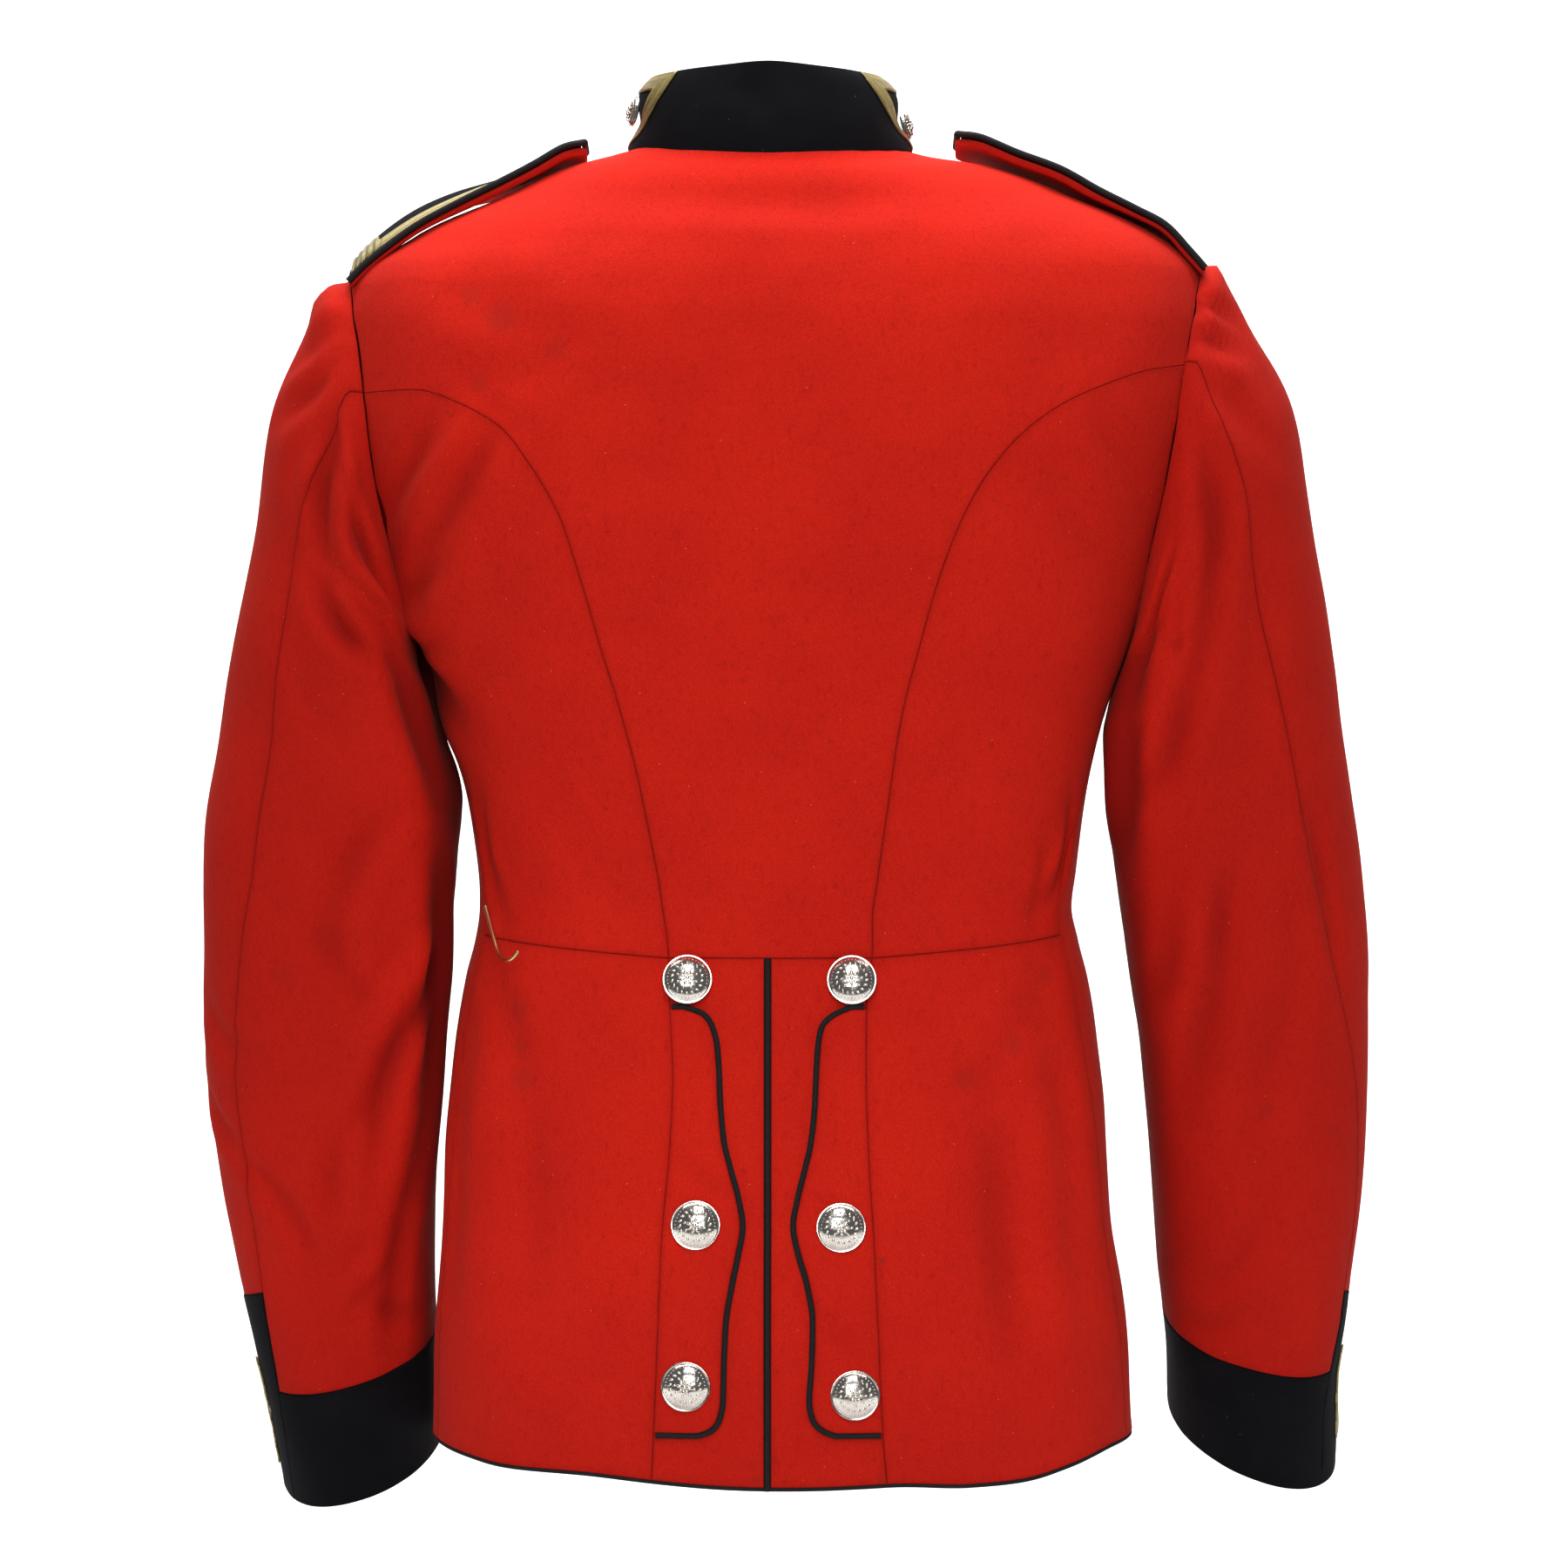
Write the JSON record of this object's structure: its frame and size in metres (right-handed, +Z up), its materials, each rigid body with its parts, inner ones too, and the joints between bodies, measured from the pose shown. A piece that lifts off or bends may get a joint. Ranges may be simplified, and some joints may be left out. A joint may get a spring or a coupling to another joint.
{
  "type": "military dress tunic",
  "caption": "Hip-length dress tunic, filled out as worn and hollow, with stand collar, shoulder straps, set-in sleeves with cuffs, slashed back skirts, lace, piping and domed buttons.",
  "frame": {"origin": "In the middle of the neck opening, at the height of the nape, where the wearer's neck and shoulders hold the tunic.", "axes": "+Z up along the body, +X to the wearer's left, -Y to the wearer's front and +Y to the back."},
  "size_m": [0.6095, 0.2546, 0.75],
  "materials": {
    "red_cloth": "felted wool melton, matt with a soft sheen",
    "black_cloth": "felted navy-black wool, matt",
    "black_piping": "corded black wool piping, matt",
    "gold_lace": "ribbed woven metal-thread lace, satin",
    "silver_button": "polished silver plate",
    "brass_wire": "polished brass wire"
  },
  "bodies": {
    "root": {"back": "red_cloth", "back_button_low_left": "silver_button", "back_button_low_right": "silver_button", "back_button_middle_left": "silver_button", "back_button_middle_right": "silver_button", "back_button_waist_left": "silver_button", "back_button_waist_right": "silver_button", "belt_hook": "brass_wire", "centre_skirt_left": "red_cloth", "centre_skirt_right": "red_cloth", "collar": "black_cloth", "collar_button_left": "silver_button", "collar_button_right": "silver_button", "collar_lace_left": "gold_lace", "collar_lace_right": "gold_lace", "cuff_lace_left": "gold_lace", "cuff_lace_right": "gold_lace", "forepart_left": "red_cloth", "forepart_right": "red_cloth", "front_button_1": "silver_button", "front_button_2": "silver_button", "front_button_3": "silver_button", "front_button_4": "silver_button", "front_button_5": "silver_button", "front_button_6": "silver_button", "front_button_7": "silver_button", "front_button_8": "silver_button", "front_piping": "black_piping", "hem_piping_left": "black_piping", "hem_piping_right": "black_piping", "side_body_left": "red_cloth", "side_body_right": "red_cloth", "side_skirt_left": "red_cloth", "side_skirt_right": "red_cloth", "slash_flap_left": "red_cloth", "slash_flap_right": "red_cloth", "slash_piping_left": "black_piping", "slash_piping_right": "black_piping", "strap_button_left": "silver_button", "strap_button_right": "silver_button", "strap_lace_left": "gold_lace", "strap_lace_right": "gold_lace", "strap_left": "black_cloth", "strap_lining_left": "red_cloth", "strap_lining_right": "red_cloth", "strap_piping_left": "black_piping", "strap_piping_right": "black_piping", "strap_right": "black_cloth", "top_cuff_left": "black_cloth", "top_cuff_right": "black_cloth", "top_sleeve_left": "red_cloth", "top_sleeve_right": "red_cloth", "under_cuff_left": "black_cloth", "under_cuff_right": "black_cloth", "under_sleeve_left": "red_cloth", "under_sleeve_right": "red_cloth", "vent_piping": "black_piping"}
  },
  "joints": []
}
